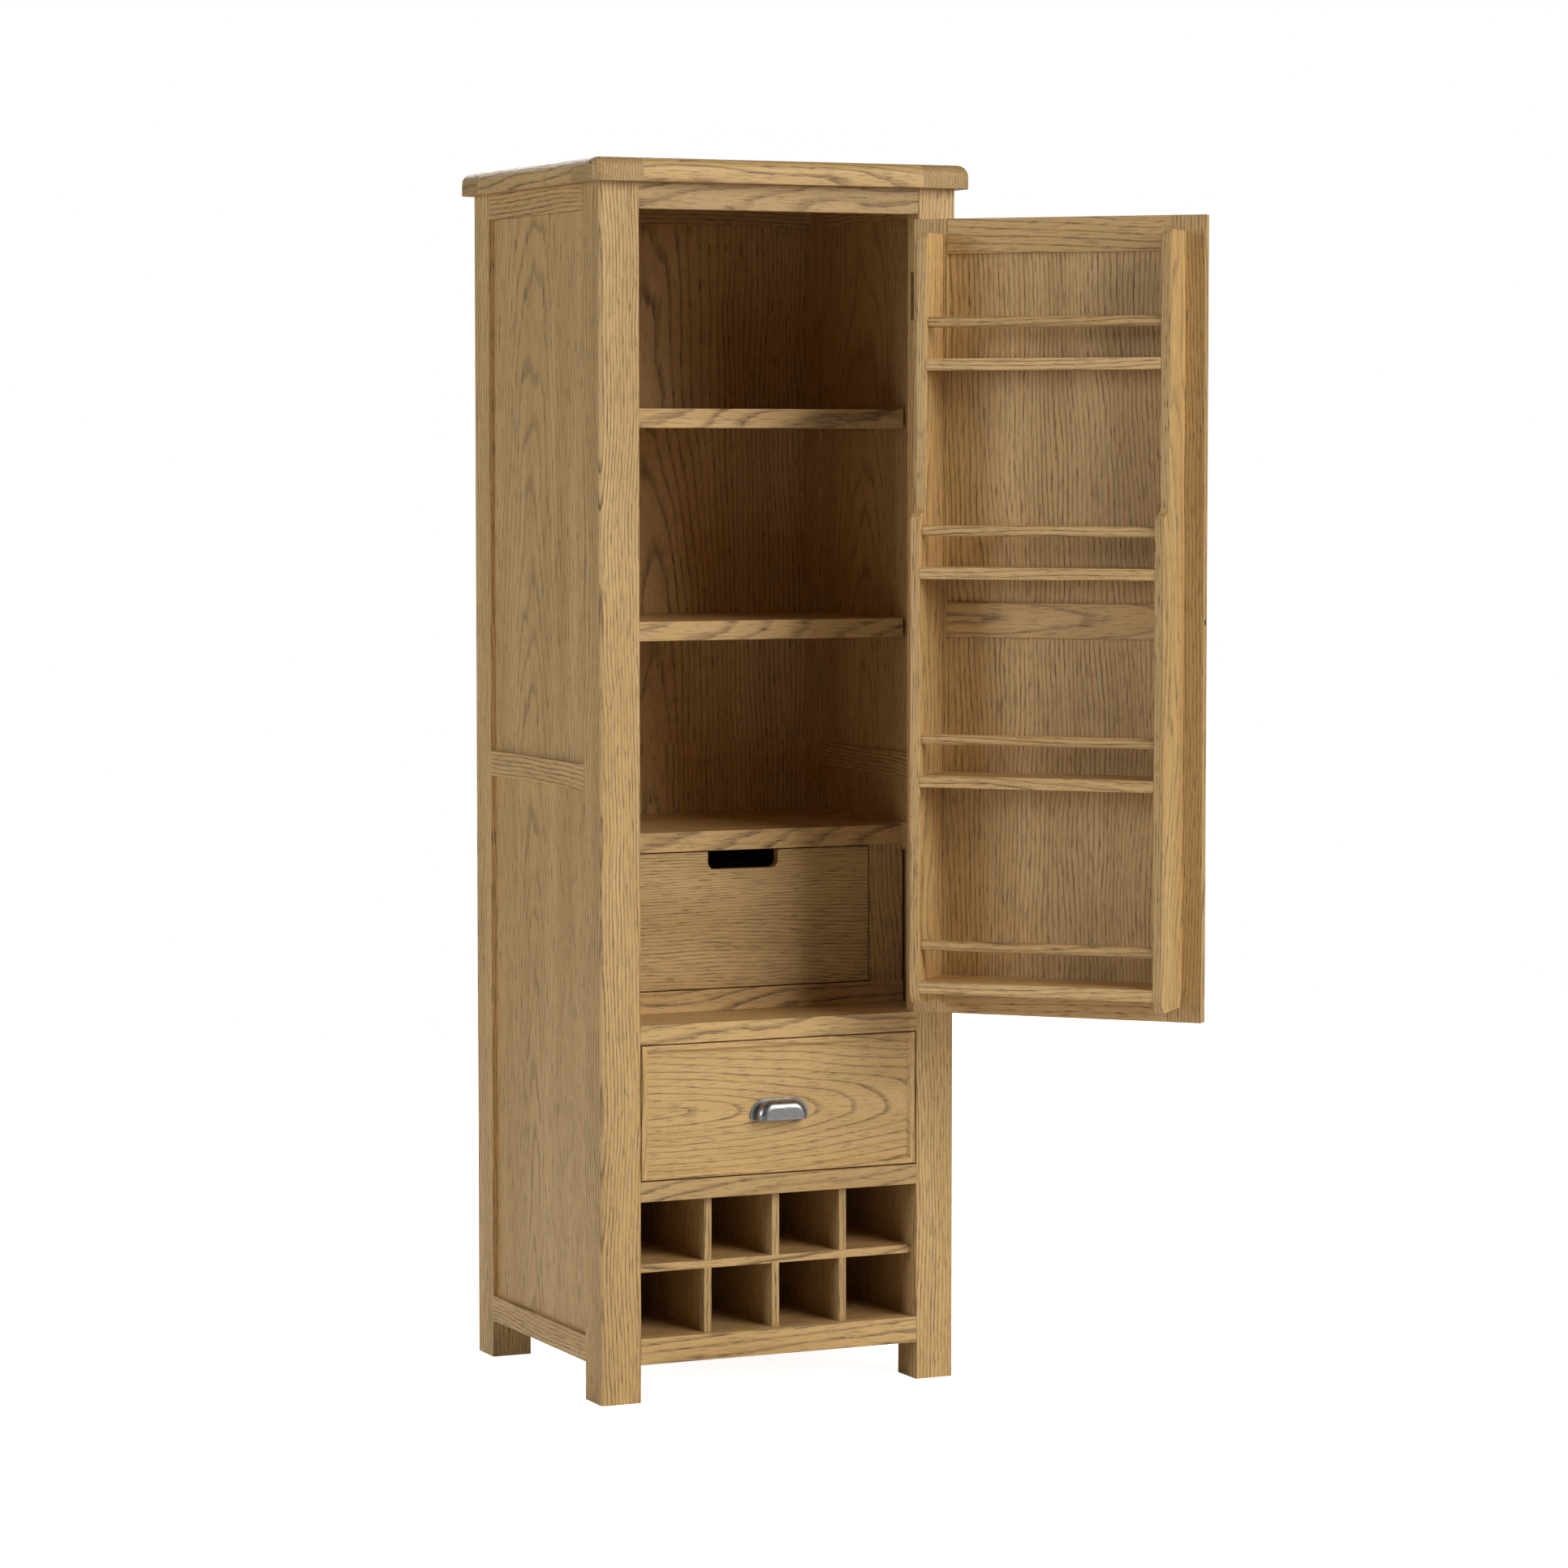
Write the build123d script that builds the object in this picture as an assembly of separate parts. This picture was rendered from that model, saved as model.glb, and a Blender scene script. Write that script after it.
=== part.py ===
from build123d import *
import os

# Oak pantry cabinet: one framed door with spice racks on its inside, loose and fixed
# shelves, a drawer behind the door, a drawer below it and a wine rack at the bottom.
# Millimetres. +Z is up, the front faces -Y, and the origin is on the floor under the
# middle of the four feet. The door is built shut and then swung to its resting angle.

# Overall
HEIGHT = 1900.0
WIDTH = 600.0
DEPTH = 520.0
HALF = WIDTH / 2
FRONT = -DEPTH / 2
BACK = DEPTH / 2

# Legs and frames
LEG = 65.0
FRAME = 20.0
LEG_FRONT_DEPTH = 36.0
OPEN = HALF - LEG
LINING = HALF - FRAME
LEG_REAR = BACK - LEG
LEG_INNER_FRONT = FRONT + LEG
TENON = 15.0
TENON_THICK = 8.0
TENON_SHOULDER = 5.0
TENON_SETBACK = 6.0
EDGE = 1.0
CORNER = 7.0

# Levels
CORNICE_Z = 1863.5
RAIL = 40.0
FOOT_Z = 58.5
WINE_FLOOR_Z = 99.0
WINE_SHELF_Z = 198.5
WINE_SHELF_THICK = 12.5
WINE_TOP_Z = 310.0
DRAWER_Z = 341.0
DRAWER_TOP_Z = 552.0
CUPBOARD_Z = 582.0
INNER_DRAWER_Z = 616.0
FIXED_SHELF_Z = 834.0
FIXED_SHELF_TOP_Z = 865.0
SIDE_MIDDLE_Z = 940.0
DOOR_HEAD_Z = 1823.5

# Panels
PANEL_RECESS = 9.0
PANEL_STEP = 4.0
GROOVE = 6.0
BACK_BOARD = 8.0
BACK_REBATE = 10.0
BACK_JOINT_Z = 980.0
BACK_TONGUE = 5.0
BACK_TONGUE_CHEEK = 2.5

# Shelves
SHELF_FRONT = FRONT + 140.0
SHELF_BACK = BACK - BACK_BOARD - 2.0
SHELF_THICK = 30.0
LOOSE_SHELF_Z = (1163.5, 1493.5)
SHELF_PLAY = 1.5
PEG_R = 3.0
PEG_INSET = 45.0
PEG_HOLE = 5.0
PEG_REACH = 9.0
PEG_NOTCH = 6.0
PEG_NOTCH_LENGTH = 14.0
PEG_NOTCH_HALF = 3.5
FIXED_SHELF_PLAY = 2.0
BATTEN_Z = (826.0, 868.0)
FLOOR_BATTEN = 18.0
DECK = 16.0

# Cornice
OVERHANG = 19.5
CORNICE_ROUND = 18.0
CORNICE_CORNER_R = 20.0
TOP_THICK = 20.0
TOP_REBATE = 12.0

# Wine rack
RACK_SETBACK = 18.0
DIVIDER = 12.0
DIVIDER_PITCH = 115.0

# Drawers
DRAWER_GAP = 1.8
BOX_SIDE = 12.0
BOX_BOTTOM = 6.0
BOTTOM_RISE = 8.0
BOX_GROOVE = 4.0
BOX_PLAY = 3.0
BOX_LIFT = 2.0
TAIL_COUNT = 4
FRONT_ROUND = 2.5
RUNNER_LEDGE = 8.0
GUIDE = 16.0
GUIDE_PLAY = 1.0
GUIDE_HEIGHT = 50.0
OUTER_BOX_LENGTH = 440.0
OUTER_BOX_HEIGHT = 160.0
INNER_BOX_LENGTH = 330.0
INNER_BOX_HEIGHT = 170.0
INNER_HALF = 220.0
INNER_FRONT_THICK = 16.0
BEAD = 8.0
BEAD_SLOPE = 4.7
FIELD_RECESS = 6.0
SLOT_WIDTH = 120.0
SLOT_DEPTH = 28.0
SLOT_R = 12.0
TAIL_DEPTH = 12.0
TAIL_ROOT = 0.25
TAIL_TIP = 0.34

# Cup pull
PULL_WIDTH = 99.0
PULL_HEIGHT = 31.5
PULL_REACH = 23.0
PULL_WALL = 2.0
PULL_Z = 426.5
PULL_EAR = 8.0
PULL_RIM = 1.5
PULL_ROUND = 13.0
PULL_LIP = 0.9
PULL_PLATE = 1.8
PULL_BOSS = 3.0
PULL_FOOT = 5.0
PULL_SHOULDER = 24.0
PULL_LIP_HEIGHT = 2.0
BOLT_HEAD = 2.4
BOLT_SLOT = 1.2
BOLT_ACROSS = 0.72
BOLT_UP = 0.3

# Door
DOOR_HALF = 232.5
DOOR_Z = 585.0
DOOR_TOP_Z = 1815.0
DOOR_THICK = 20.0
DOOR_STILE = 54.0
DOOR_MIDDLE_Z = 1170.5
DOOR_PANEL = 8.0
DOOR_TENON = 20.0
DOOR_TENON_SHOULDER = 8.0
DOOR_FACE = FRONT + DOOR_THICK
OPEN_ANGLE = 135.0

# Door racks, measured from the door's edge and out of its inner face
RACK_INSET = 31.0
RACK_SIDE = 15.5
RACK_Z = (609.0, 1791.0)
RACK_DEEP = 109.0
RACK_SHALLOW = 80.0
RACK_STEP_Z = (1352.0, 1375.0)
RACK_FOOT_R = 22.0
RACK_HEAD_R = 14.0
RACK_EASE = 1.5
RACK_SHELF = 18.0
RACK_SHELF_TOPS = (645.0, 962.0, 1281.0, 1599.0)
RACK_RAIL_R = 8.2
RACK_RAIL_ABOVE = 55.5
RACK_RAIL_INSET = 13.0
RACK_RAIL_HOLE = 8.0

# Hinges
PIN_X = (OPEN + DOOR_HALF) / 2
PIN_Y = FRONT - 3.7
PIN_R = 1.8
PIN_PLAY = 0.05
KNUCKLE_R = 3.5
LEAF = 1.15
LEAF_REACH = 24.0
HINGE_HEIGHT = 75.0
HINGE_GAP = 0.3
HINGE_Z = (700.0, 1197.5, 1698.0)
HINGE_SCREW_PITCH = 26.0
HINGE_SCREW_LENGTH = 14.0
FRAME_SCREW_SETBACK = 14.0
DOOR_LEAF_DEPTH = 17.0
DOOR_SCREW_SETBACK = 9.5

# Screws
SCREW_R = 2.0
SCREW_HEAD_R = 3.6
SCREW_HEAD_DEEP = 2.0
SCREW_CROSS = (4.2, 0.9, 1.6)
BACK_SCREW_LENGTH = 20.0
BACK_SCREW_INSET = 4.0
BACK_SCREW_Z = (180.0, 430.0, 680.0, 930.0, 1030.0, 1280.0, 1530.0, 1740.0)
BACK_SCREW_X = (-160.0, 0.0, 160.0)

# Catch and knob
MAGNET_R = 5.0
MAGNET_DEEP = 4.0
MAGNET_Z = 1197.5
KNOB_R = 15.0
KNOB_Z = 1197.5

nodes = {}


def block(x, y, z):
    """A box between the low and high values of each axis."""
    size = (x[1] - x[0], y[1] - y[0], z[1] - z[0])
    middle = ((x[0] + x[1]) / 2, (y[0] + y[1]) / 2, (z[0] + z[1]) / 2)
    return Pos(*middle) * Box(*size)


def mirror_x(shape):
    return mirror(shape, about=Plane.YZ)


def soften(shape, axis, radius=EDGE):
    """Round the long edges that run along one axis."""
    return fillet(shape.edges().filter_by(axis), radius)


def rod(radius, start, direction, length):
    """A round bar from a point along a direction."""
    return extrude(Plane(start, z_dir=direction) * Circle(radius), length)


def keep(name, *solids):
    """Store one named piece, or a group of alike pieces, as separate solids."""
    nodes[name] = solids


def swing(shape):
    """Turn a door piece from shut to its resting angle about the hinge pin."""
    return Pos(PIN_X, PIN_Y, 0) * Rot(0, 0, OPEN_ANGLE) * Pos(-PIN_X, -PIN_Y, 0) * shape


# ---------------------------------------------------------------- carcass


def front_rail_levels():
    return (
        ("front_rail_bottom", FOOT_Z, WINE_FLOOR_Z),
        ("wine_rack_head_rail", WINE_TOP_Z, DRAWER_Z),
        ("drawer_head_rail", DRAWER_TOP_Z, CUPBOARD_Z),
        ("front_rail_top", DOOR_HEAD_Z, CORNICE_Z),
    )


def side_rail_levels():
    return (
        (FOOT_Z, WINE_FLOOR_Z),
        (SIDE_MIDDLE_Z, SIDE_MIDDLE_Z + RAIL),
        (CORNICE_Z - RAIL, CORNICE_Z),
    )


def front_tenon_zone(low, high):
    """The part of a front rail that enters both legs."""
    y = (FRONT + TENON_SETBACK, FRONT + TENON_SETBACK + TENON_THICK)
    return block((-OPEN - TENON, OPEN + TENON), y, (low + TENON_SHOULDER, high - TENON_SHOULDER))


def side_tenon_zone(low, high):
    """The part of a left side rail that enters the front and rear legs."""
    x = (-HALF + TENON_SETBACK, -HALF + TENON_SETBACK + TENON_THICK)
    y = (LEG_INNER_FRONT - TENON, LEG_REAR + TENON)
    return block(x, y, (low + TENON_SHOULDER, high - TENON_SHOULDER))


def side_groove_zone():
    """The space that the left panels take, with their tongues in the grooves."""
    x = (-HALF + PANEL_RECESS, -LINING - PANEL_STEP)
    y = (LEG_INNER_FRONT - GROOVE, LEG_REAR + GROOVE)
    return block(x, y, (WINE_FLOOR_Z - GROOVE, CORNICE_Z - RAIL + GROOVE))


def leg_post(y, outer_radius):
    """A square post on the left, with its outer edge at y[0] rounded more than its inner ones."""
    post = block((-HALF, -OPEN), (min(y), max(y)), (0, CORNICE_Z))
    uprights = post.edges().filter_by(Axis.Z)
    uprights = uprights.sort_by(lambda e: abs(e.center().X + HALF) + abs(e.center().Y - y[0]))
    post = fillet(uprights[0], outer_radius)
    rest = [e for e in post.edges().filter_by(Axis.Z) if e.center().X > -OPEN - 1]
    return fillet(rest, EDGE)


def left_front_leg():
    leg = leg_post((FRONT, LEG_INNER_FRONT), CORNER)
    rebate_y = FRONT + LEG_FRONT_DEPTH
    leg -= block((-LINING, 0), (rebate_y, BACK), (FOOT_Z, CORNICE_Z))
    for _, low, high in front_rail_levels():
        leg -= front_tenon_zone(low, high)
    for low, high in side_rail_levels():
        leg -= side_tenon_zone(low, high)
    return leg - side_groove_zone()


def left_rear_leg():
    leg = leg_post((BACK, LEG_REAR), 2 * EDGE)
    leg -= block((-LINING, 0), (0, BACK), (FOOT_Z, CORNICE_Z))
    leg -= block((-HALF + BACK_REBATE, 0), (BACK - BACK_BOARD, BACK), (FOOT_Z, CORNICE_Z))
    for low, high in side_rail_levels():
        leg -= side_tenon_zone(low, high)
    return leg - side_groove_zone()


def make_legs():
    front = left_front_leg()
    rear = left_rear_leg()
    hinge_side = mirror_x(front)
    for z in HINGE_Z:
        hinge_side -= hinge_screws(z)
    keep("leg_front_left", front - magnet(-OPEN, -1))
    keep("leg_front_right", hinge_side)
    keep("leg_rear_left", rear)
    keep("leg_rear_right", mirror_x(rear))


def make_front_rails():
    for name, low, high in front_rail_levels():
        rail = block((-OPEN, OPEN), (FRONT, FRONT + FRAME), (low, high))
        keep(name, soften(rail, Axis.X) + front_tenon_zone(low, high))


def make_side_frames():
    """Three rails a side, with an upper and a lower panel held in grooves."""
    x = (-HALF + PANEL_RECESS, -LINING - PANEL_STEP)
    y = (LEG_INNER_FRONT - GROOVE, LEG_REAR + GROOVE)
    lower = block(x, y, (WINE_FLOOR_Z - GROOVE, SIDE_MIDDLE_Z + GROOVE))
    upper = block(x, y, (SIDE_MIDDLE_Z + RAIL - GROOVE, CORNICE_Z - RAIL + GROOVE))
    rails = []
    for low, high in side_rail_levels():
        rail = block((-HALF, -LINING), (LEG_INNER_FRONT, LEG_REAR), (low, high))
        rails.append(soften(rail, Axis.Y) + side_tenon_zone(low, high) - lower - upper)
    keep("left_side_rails", *rails)
    keep("right_side_rails", *[mirror_x(rail) for rail in rails])
    keep("left_side_panels", lower, upper)
    keep("right_side_panels", mirror_x(lower), mirror_x(upper))


def back_screw_places():
    """The heads' centres: down both edges, and into the top and bottom rails."""
    places = []
    for side in (-1, 1):
        for z in BACK_SCREW_Z:
            places.append((side * (LINING + BACK_SCREW_INSET), z))
    for x in BACK_SCREW_X:
        places.append((x, FOOT_Z + RAIL / 2))
        places.append((x, CORNICE_Z - RAIL / 2))
    return places


def screw_hole(length):
    """The countersunk room that a screw along -Z fills, with its mouth at the origin."""
    head = Cone(SCREW_R, SCREW_HEAD_R, SCREW_HEAD_DEEP, align=(Align.CENTER, Align.CENTER, Align.MAX))
    return head + Cylinder(SCREW_R, length, align=(Align.CENTER, Align.CENTER, Align.MAX))


def wood_screw(length):
    """A countersunk screw with a cross recess, flush at the origin."""
    long, wide, deep = SCREW_CROSS
    return screw_hole(length) - Box(long, wide, deep) - Box(wide, long, deep)


def make_back():
    x = (-HALF + BACK_REBATE, HALF - BACK_REBATE)
    y = (BACK - BACK_BOARD, BACK)
    tongue_y = (BACK - BACK_BOARD + BACK_TONGUE_CHEEK, BACK - BACK_TONGUE_CHEEK)
    tongue = block(x, tongue_y, (BACK_JOINT_Z - BACK_TONGUE, BACK_JOINT_Z))
    lower = block(x, y, (FOOT_Z, BACK_JOINT_Z)) - tongue
    upper = block(x, y, (BACK_JOINT_Z, CORNICE_Z)) + tongue
    rail_y = (BACK - BACK_BOARD - FRAME, BACK - BACK_BOARD)
    levels = ((FOOT_Z, WINE_FLOOR_Z), (CORNICE_Z - RAIL, CORNICE_Z))
    rails = [block((-LINING, LINING), rail_y, level) for level in levels]
    places = [Pos(px, BACK, pz) * Rot(-90, 0, 0) for px, pz in back_screw_places()]
    screws = [place * wood_screw(BACK_SCREW_LENGTH) for place in places]
    holes = [place * screw_hole(BACK_SCREW_LENGTH) for place in places]
    lower -= holes
    upper -= holes
    rails = [rail - holes for rail in rails]
    for leg in ("leg_rear_left", "leg_rear_right"):
        keep(leg, nodes[leg][0] - holes)
    keep("back_boards", lower, upper)
    keep("back_rails", *rails)
    keep("back_screws", *screws)


def top_outline(z_low, z_high):
    """The whole cornice as one block, with its rounded corners and upper edge."""
    x = HALF + OVERHANG
    y = BACK + OVERHANG
    slab = block((-x, x), (-y, y), (z_low, z_high))
    slab = fillet(slab.edges().filter_by(Axis.Z), CORNICE_CORNER_R)
    upper = slab.faces().sort_by(Axis.Z)[-1].edges()
    slab = fillet(upper, CORNICE_ROUND)
    lower = slab.faces().sort_by(Axis.Z)[0].edges()
    return fillet(lower, EDGE)


def make_cornice():
    """Four corner blocks and four edges round a panel that lies in their rebate."""
    whole = top_outline(CORNICE_Z, HEIGHT)
    wide = HALF + OVERHANG
    deep = BACK + OVERHANG
    inner_x = OPEN
    inner_y = BACK - LEG
    z = (CORNICE_Z, HEIGHT)
    panel_x = inner_x + TOP_REBATE
    panel_y = inner_y + TOP_REBATE
    panel = block((-panel_x, panel_x), (-panel_y, panel_y), (HEIGHT - TOP_THICK, HEIGHT))
    corners = []
    for sx in (-1, 1):
        for sy in (-1, 1):
            x = sorted((sx * inner_x, sx * wide))
            y = sorted((sy * inner_y, sy * deep))
            corners.append((whole & block(x, y, z)) - panel)
    edges = []
    for s in (-1, 1):
        edges.append((whole & block((-inner_x, inner_x), sorted((s * inner_y, s * deep)), z)) - panel)
    for s in (-1, 1):
        edges.append((whole & block(sorted((s * inner_x, s * wide)), (-inner_y, inner_y), z)) - panel)
    keep("cornice_corner_blocks", *corners)
    keep("cornice_edges", *edges)
    keep("top_panel", panel)


# ---------------------------------------------------------------- inside


def shelf_peg_places():
    """Where the pegs stand along the depth, near the front and the back of a loose shelf."""
    return (SHELF_FRONT + PEG_INSET, LEG_REAR - PEG_INSET)


def make_loose_shelves():
    """Two shelves that rest on pegs, which lie hidden in notches under the shelf."""
    reach = LINING - SHELF_PLAY
    pegs = []
    for name, z in zip(("lower_shelf", "upper_shelf"), LOOSE_SHELF_Z):
        shelf = block((-reach, reach), (SHELF_FRONT, SHELF_BACK), (z, z + SHELF_THICK))
        shelf = soften(shelf, Axis.X)
        for side in (-1, 1):
            for y in shelf_peg_places():
                x = sorted((side * reach, side * (reach - PEG_NOTCH_LENGTH)))
                shelf -= block(x, (y - PEG_NOTCH_HALF, y + PEG_NOTCH_HALF), (z, z + PEG_NOTCH))
                start = (side * (LINING + PANEL_STEP + PEG_HOLE), y, z + PEG_NOTCH - PEG_R)
                pegs.append(rod(PEG_R, start, (-side, 0, 0), PEG_HOLE + PANEL_STEP + PEG_REACH))
        keep(name, shelf)
    keep("shelf_pegs", *pegs)
    for name in ("left_side_panels", "right_side_panels"):
        keep(name, *[panel - pegs for panel in nodes[name]])


def make_fixed_shelf():
    """The shelf over the inner drawer, between battens, and the battens below the floor."""
    inner = LINING - FIXED_SHELF_PLAY
    depth = (FRONT + LEG_FRONT_DEPTH, BACK - BACK_BOARD)
    fixed = block((-inner, inner), (SHELF_FRONT, BACK - BACK_BOARD), (FIXED_SHELF_Z, FIXED_SHELF_TOP_Z))
    keep("fixed_shelf", soften(fixed, Axis.X))
    battens = []
    for side in (-1, 1):
        batten = block(sorted((side * inner, side * (LINING + PANEL_STEP))), depth, BATTEN_Z)
        for y in ((FRONT, LEG_INNER_FRONT), (LEG_REAR, BACK)):
            batten -= block(sorted((side * LINING, side * HALF)), y, BATTEN_Z)
        battens.append(batten)
        x = sorted((side * (LINING - FLOOR_BATTEN), side * LINING))
        battens.append(block(x, depth, (CUPBOARD_Z - DECK - RAIL / 2, CUPBOARD_Z - DECK)))
    keep("battens", *battens)


def make_decks():
    back = BACK - BACK_BOARD
    notch_y = FRONT + LEG_FRONT_DEPTH
    for name, low, high in (
        ("wine_floor", WINE_FLOOR_Z - DECK, WINE_FLOOR_Z),
        ("drawer_deck", WINE_TOP_Z, WINE_TOP_Z + DECK),
        ("cupboard_floor", CUPBOARD_Z - DECK, CUPBOARD_Z),
    ):
        deck = block((-LINING, LINING), (notch_y, back), (low, high))
        deck += block((-OPEN, OPEN), (FRONT + FRAME, notch_y), (low, high))
        if name == "wine_floor":
            deck -= block((-LINING, LINING), (back - FRAME, back), (low, high))
        keep(name, deck)


def make_wine_rack():
    """Upright dividers halved over one long shelf, between two side cheeks."""
    y = (FRONT + RACK_SETBACK, BACK - BACK_BOARD)
    middle = (y[0] + y[1]) / 2
    shelf_z = (WINE_SHELF_Z, WINE_SHELF_Z + WINE_SHELF_THICK)
    places = [DIVIDER_PITCH * k for k in (-1, 0, 1)]
    shelf = block((-OPEN, OPEN), y, shelf_z)
    dividers = []
    for px in places:
        x = (px - DIVIDER / 2, px + DIVIDER / 2)
        shelf -= block(x, (middle, y[1]), shelf_z)
        divider = block(x, y, (WINE_FLOOR_Z, WINE_TOP_Z)) - block(x, (y[0], middle), shelf_z)
        dividers.append(divider)
    keep("wine_shelf", shelf)
    keep("wine_dividers", *dividers)
    cheek = block((-OPEN - DIVIDER, -OPEN), (FRONT + LEG_FRONT_DEPTH, y[1]), (WINE_FLOOR_Z, WINE_TOP_Z))
    keep("wine_cheeks", cheek, mirror_x(cheek))


# ---------------------------------------------------------------- drawers


def tails(x, y_root, low, high, towards):
    """Dovetail wedges that run out of a drawer side, wider at their far end."""
    pitch = (high - low) / TAIL_COUNT
    wedges = []
    for k in range(TAIL_COUNT):
        z = low + pitch * (k + 0.5)
        root = pitch * TAIL_ROOT
        tip = pitch * TAIL_TIP
        y_tip = y_root + towards * TAIL_DEPTH
        points = ((y_root, z - root), (y_tip, z - tip), (y_tip, z + tip), (y_root, z + root))
        face = Plane.YZ * Polygon(*points, align=None)
        wedges.append(Pos(x[0], 0, 0) * extrude(face, x[1] - x[0], dir=(1, 0, 0)))
    return wedges


def drawer_box(name, half_width, y_front, length, low, height, front):
    """Two sides tailed into the front and the back, and a bottom in grooves."""
    top = low + height
    x = (-half_width, -half_width + BOX_SIDE)
    y = (y_front, y_front + length)
    side = block(x, (y[0], y[1] - TAIL_DEPTH), (low, top))
    for wedge in tails(x, y[0], low, top, -1) + tails(x, y[1] - TAIL_DEPTH, low, top, 1):
        side += wedge
    inner = half_width - BOX_SIDE
    bottom_z = (low + BOTTOM_RISE, low + BOTTOM_RISE + BOX_BOTTOM)
    bottom_x = (-inner - BOX_GROOVE, inner + BOX_GROOVE)
    bottom = block(bottom_x, (y[0] - BOX_GROOVE, y[1] - TAIL_DEPTH + BOX_GROOVE), bottom_z)
    back = block((-half_width, half_width), (y[1] - TAIL_DEPTH, y[1]), (low, top))
    sides = (side - bottom, mirror_x(side) - bottom)
    back = back - sides[0] - sides[1] - bottom
    front = front - sides[0] - sides[1] - bottom
    keep(name + "_front", front)
    keep(name + "_sides", *sides)
    keep(name + "_back", back)
    keep(name + "_bottom", bottom)


def make_outer_drawer():
    half = OPEN - DRAWER_GAP
    z = (DRAWER_Z + DRAWER_GAP, DRAWER_TOP_Z - DRAWER_GAP)
    front = block((-half, half), (FRONT, FRONT + FRAME), z)
    rim = front.faces().sort_by(Axis.Y)[0].edges()
    front = fillet(rim, FRONT_ROUND)
    wide = 2 * (half - BEAD)
    tall = z[1] - z[0] - 2 * BEAD
    middle = Plane((0, FRONT, (z[0] + z[1]) / 2), x_dir=(1, 0, 0), z_dir=(0, 1, 0))
    mouth = middle * Rectangle(wide, tall)
    floor = middle.offset(FIELD_RECESS) * Rectangle(wide - 2 * BEAD_SLOPE, tall - 2 * BEAD_SLOPE)
    front -= loft([mouth, floor])
    low = DRAWER_Z + DRAWER_GAP + BOX_LIFT
    drawer_box("outer_drawer", half - BOX_PLAY, FRONT + FRAME, OUTER_BOX_LENGTH, low, OUTER_BOX_HEIGHT, front)
    legs = (FRONT, FRONT + LEG_FRONT_DEPTH)
    base = (WINE_TOP_Z + DECK, low)
    keep("drawer_runners", *runner_pair(half, FRONT + FRAME, base, LINING, (OPEN, legs)))


def runner_pair(half, y_front, base, outer, frame):
    """Two strips with guides. Each guide's front end stops the drawer front flush."""
    y = (y_front, BACK - BACK_BOARD)
    frame_x, frame_y = frame
    runners = []
    for side in (-1, 1):
        foot = block(sorted((side * (half - BOX_PLAY - BOX_SIDE - RUNNER_LEDGE), side * outer)), y, base)
        guide_x = sorted((side * (half - BOX_PLAY + GUIDE_PLAY), side * (half + GUIDE)))
        guide = block(guide_x, y, (base[1], base[1] + GUIDE_HEIGHT))
        taken = block(sorted((side * frame_x, side * HALF)), frame_y, (base[0], base[1] + GUIDE_HEIGHT))
        runners.append(foot + guide - taken)
    return runners


def make_inner_drawer():
    half = INNER_HALF - DRAWER_GAP
    top = FIXED_SHELF_Z - DRAWER_GAP
    thick = (SHELF_FRONT, SHELF_FRONT + INNER_FRONT_THICK)
    front = block((-half, half), thick, (INNER_DRAWER_Z + DRAWER_GAP, top))
    slot = block((-SLOT_WIDTH / 2, SLOT_WIDTH / 2), thick, (top - SLOT_DEPTH, top + SLOT_R))
    slot = fillet(slot.edges().filter_by(Axis.Y).sort_by(Axis.Z)[:2], SLOT_R)
    front -= slot
    front = fillet(front.faces().sort_by(Axis.Y)[0].edges(), EDGE)
    low = INNER_DRAWER_Z + DRAWER_GAP + BOX_LIFT
    y_front = SHELF_FRONT + INNER_FRONT_THICK
    drawer_box("inner_drawer", half - BOX_PLAY, y_front, INNER_BOX_LENGTH, low, INNER_BOX_HEIGHT, front)
    face_frame = (SHELF_FRONT, SHELF_FRONT + FRAME)
    rail = block((-LINING, LINING), face_frame, (CUPBOARD_Z, INNER_DRAWER_Z))
    keep("inner_face_rail", soften(rail, Axis.X))
    stile_x = (-LINING + FIXED_SHELF_PLAY, -INNER_HALF)
    stile = block(stile_x, face_frame, (INNER_DRAWER_Z, FIXED_SHELF_Z))
    keep("inner_face_stiles", stile, mirror_x(stile))
    runners = runner_pair(half, y_front, (CUPBOARD_Z, low), half + GUIDE, (INNER_HALF, face_frame))
    keep("inner_drawer_runners", *[runner - rail for runner in runners])


def pull_plane():
    """The drawer's recessed face at the pull's lower edge, looking out of the drawer."""
    return Plane((0, FRONT + FIELD_RECESS, PULL_Z), x_dir=(1, 0, 0), z_dir=(0, -1, 0))


def shouldered(half_width, height, shoulder):
    """A flat outline, straight below and above, with wide round shoulders."""
    outline = Pos(0, height / 2) * Rectangle(2 * half_width, height)
    return fillet(outline.vertices().sort_by(Axis.Y)[-2:], shoulder)


def cup_block(half_width, height, depth, shoulder, round_r):
    """A shouldered block out of the drawer's face, flat below, rounded at its front."""
    shape = extrude(pull_plane() * shouldered(half_width, height, shoulder), depth)
    rim = shape.faces().sort_by(Axis.Y)[0].edges().sort_by(Axis.Z)[1:]
    return fillet(rim, round_r)


def pull_plate():
    outline = shouldered(PULL_WIDTH / 2, PULL_HEIGHT, PULL_SHOULDER + PULL_WALL)
    outline = fillet(outline.vertices().sort_by(Axis.Y)[:2], PULL_FOOT)
    return extrude(pull_plane() * outline, PULL_PLATE)


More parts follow.
